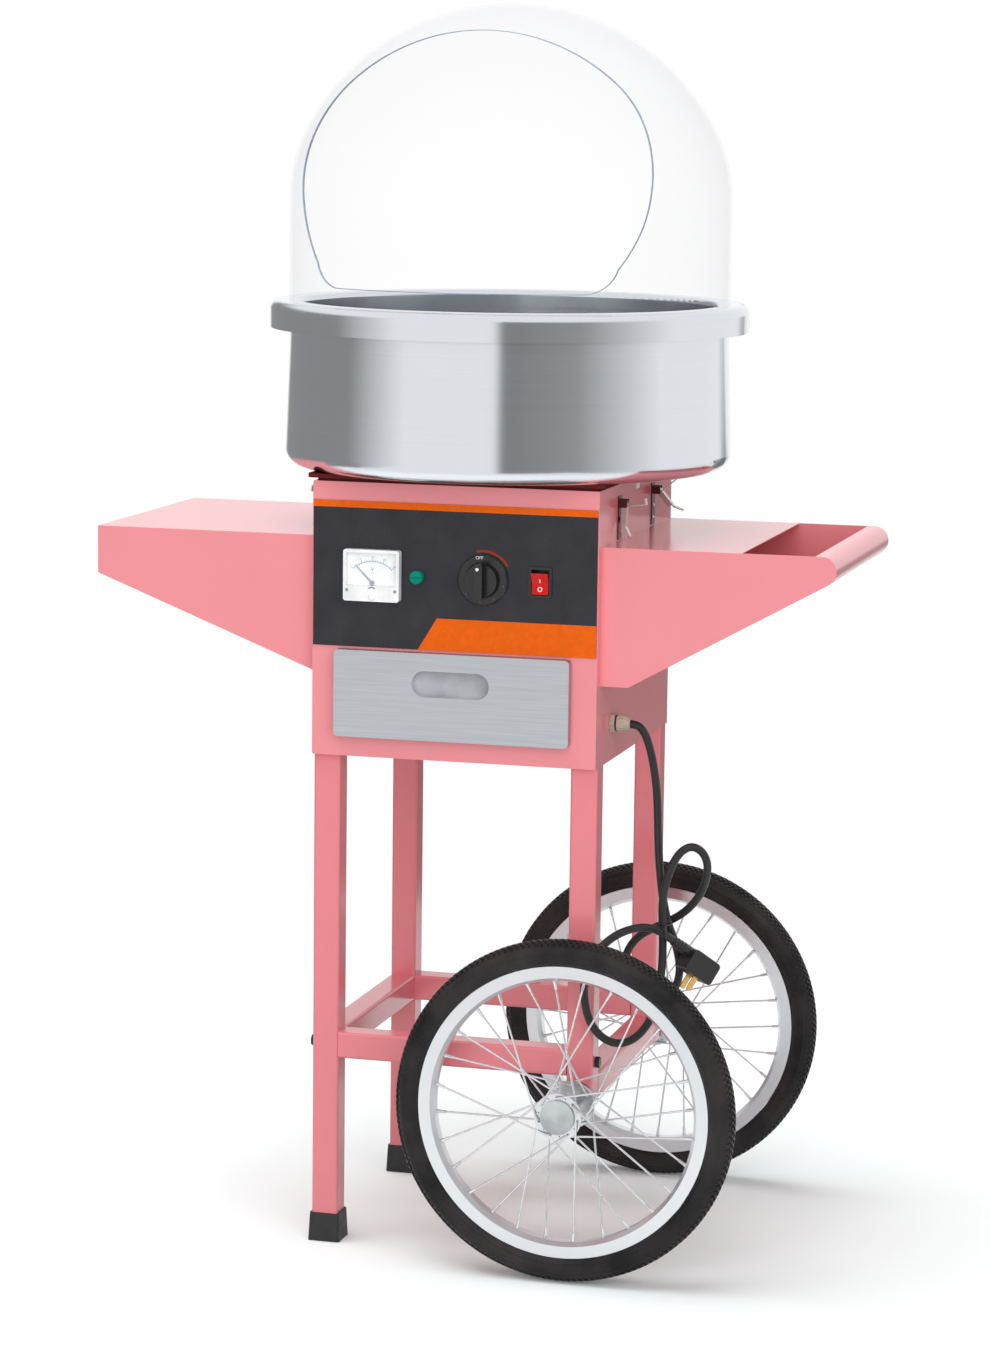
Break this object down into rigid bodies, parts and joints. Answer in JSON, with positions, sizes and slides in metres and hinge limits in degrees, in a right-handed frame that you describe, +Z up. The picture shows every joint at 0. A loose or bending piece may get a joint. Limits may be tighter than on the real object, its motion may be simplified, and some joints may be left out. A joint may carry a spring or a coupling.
{
  "type": "cotton candy machine cart",
  "caption": "Electric cotton candy machine with a steel bowl and clear dome on a pink sheet metal cart with two spoked wheels, side shelves, drawer and mains lead",
  "frame": {"origin": "on the floor, under the middle of the case and of the whole cart's plan", "axes": "+Z up, +X towards the push handle and the wheels, -Y the front with the control panel"},
  "size_m": [0.842, 0.538, 1.388],
  "materials": {
    "stand_paint": "gloss pink powder coat on square tube",
    "foot_rubber": "moulded black rubber",
    "zinc_steel": "zinc plated steel",
    "bolt_black": "black hexagon bolts",
    "cap_plastic": "light grey moulded plastic",
    "bearing_steel": "ground and plated steel",
    "tyre_rubber": "black tread rubber",
    "rim_alloy": "polished alloy",
    "hub_alloy": "satin alloy",
    "spoke_steel": "bright plated wire",
    "case_paint": "gloss pink powder coat on sheet steel",
    "panel_print": "dark grey printed panel with orange bands",
    "meter_plastic": "white scale behind a clear cover",
    "needle_paint": "thin black needle",
    "black_plastic": "moulded black plastic",
    "fuse_green": "moulded green plastic",
    "rocker_red": "moulded red plastic",
    "drawer_steel": "fine brushed steel",
    "plate_paint": "dark red gloss paint",
    "bowl_steel": "spun stainless steel, polished outside",
    "dome_clear": "clear blown acrylic",
    "motor_paint": "grey paint",
    "head_alloy": "turned alloy",
    "gland_plastic": "beige grey nylon",
    "cord_rubber": "round black rubber sheath",
    "plug_rubber": "moulded black rubber with brass blades"
  },
  "bodies": {
    "cart": {"leg_front_left": "stand_paint", "leg_back_left": "stand_paint", "leg_front_right": "stand_paint", "leg_back_right": "stand_paint", "stretcher_front": "stand_paint", "stretcher_back": "stand_paint", "stretcher_left": "stand_paint", "axle_beam": "stand_paint", "rubber_feet": "foot_rubber", "frame_bolts": "bolt_black", "axle": "zinc_steel", "axle_spacers": "zinc_steel", "axle_caps": "cap_plastic", "wheel_bearings": "bearing_steel", "case_front": "case_paint", "case_wrap": "case_paint", "case_top": "case_paint", "case_base": "case_paint", "control_panel": "panel_print", "voltmeter_case": "meter_plastic", "fuse_holder": "black_plastic", "heat_regulator": "black_plastic", "switch_body": "black_plastic", "drawer_runners": "bearing_steel", "left_wing_tray": "case_paint", "left_wing_lid": "case_paint", "right_wing_top": "case_paint", "right_wing_handle": "case_paint", "bowl_base_plate": "plate_paint", "motor": "motor_paint", "brush_holder": "black_plastic", "latch_brackets": "plate_paint", "cable_gland": "gland_plastic", "power_cord": "cord_rubber", "power_plug": "plug_rubber"},
    "front_wheel": {"front_tyre": "tyre_rubber", "front_rim": "rim_alloy", "front_hub": "hub_alloy", "front_spokes": "spoke_steel"},
    "back_wheel": {"back_tyre": "tyre_rubber", "back_rim": "rim_alloy", "back_hub": "hub_alloy", "back_spokes": "spoke_steel"},
    "spinner": {"spinner_shaft": "bearing_steel", "spinner_pan": "head_alloy", "heater_ring": "head_alloy", "spinner_lid": "head_alloy"},
    "knob": {"heat_knob": "black_plastic"},
    "fuse_plug": {"fuse_cap": "fuse_green"},
    "rocker": {"switch_rocker": "rocker_red"},
    "needle": {"voltmeter_needle": "needle_paint"},
    "drawer": {"drawer_front": "drawer_steel", "drawer_box": "drawer_steel"},
    "lever_front_left": {"latch_lever_front_left": "zinc_steel"},
    "lever_back_left": {"latch_lever_back_left": "zinc_steel"},
    "lever_front_right": {"latch_lever_front_right": "zinc_steel"},
    "lever_back_right": {"latch_lever_back_right": "zinc_steel"},
    "bowl_body": {"bowl": "bowl_steel", "bowl_catches": "bowl_steel"},
    "dome_body": {"dome": "dome_clear"}
  },
  "joints": [
    {"name": "front_wheel_spin", "type": "hinge", "parent": "cart", "child": "front_wheel", "pos_m": [0.1475, -0.2296, 0.191], "axis": [0, 1, 0], "continuous": true},
    {"name": "back_wheel_spin", "type": "hinge", "parent": "cart", "child": "back_wheel", "pos_m": [0.1475, 0.2296, 0.191], "axis": [0, 1, 0], "continuous": true},
    {"name": "spinner_spin", "type": "hinge", "parent": "cart", "child": "spinner", "pos_m": [0.012, 0, 0.95], "axis": [0, 0, 1], "continuous": true},
    {"name": "heat_knob_turn", "type": "hinge", "parent": "cart", "child": "knob", "pos_m": [0.0333, -0.1752, 0.7635], "axis": [0, -1, 0], "range_deg": [0, 270]},
    {"name": "fuse_cap_turn", "type": "hinge", "parent": "cart", "child": "fuse_plug", "pos_m": [-0.041, -0.1752, 0.7635], "axis": [0, -1, 0], "range_deg": [0, 90]},
    {"name": "rocker_tilt", "type": "hinge", "parent": "cart", "child": "rocker", "pos_m": [0.098, -0.17087, 0.7635], "axis": [1, 0, 0], "range_deg": [-18, 0]},
    {"name": "needle_swing", "type": "hinge", "parent": "cart", "child": "needle", "pos_m": [-0.092, -0.1795, 0.7551], "axis": [0, 1, 0], "range_deg": [0, 90], "stiffness_Nm_per_rad": 0.00002},
    {"name": "drawer_pull", "type": "slide", "parent": "cart", "child": "drawer", "axis": [0, -1, 0], "range_m": [0, 0.22]},
    {"name": "lever_front_left_tilt", "type": "hinge", "parent": "cart", "child": "lever_front_left", "pos_m": [-0.1695, -0.084, 0.844], "axis": [0, 1, 0], "range_deg": [0, 34]},
    {"name": "lever_back_left_tilt", "type": "hinge", "parent": "cart", "child": "lever_back_left", "pos_m": [-0.1695, 0.076, 0.844], "axis": [0, 1, 0], "range_deg": [-38, 3]},
    {"name": "lever_front_right_tilt", "type": "hinge", "parent": "cart", "child": "lever_front_right", "pos_m": [0.1695, -0.084, 0.844], "axis": [0, -1, 0], "range_deg": [0, 34]},
    {"name": "lever_back_right_tilt", "type": "hinge", "parent": "cart", "child": "lever_back_right", "pos_m": [0.1695, 0.076, 0.844], "axis": [0, -1, 0], "range_deg": [-38, 3]},
    {"name": "bowl_lift", "type": "slide", "parent": "cart", "child": "bowl_body", "axis": [0, 0, 1], "range_m": [0, 0.12]},
    {"name": "dome_lift", "type": "slide", "parent": "bowl_body", "child": "dome_body", "axis": [0, 0, 1], "range_m": [0, 0.2]}
  ]
}
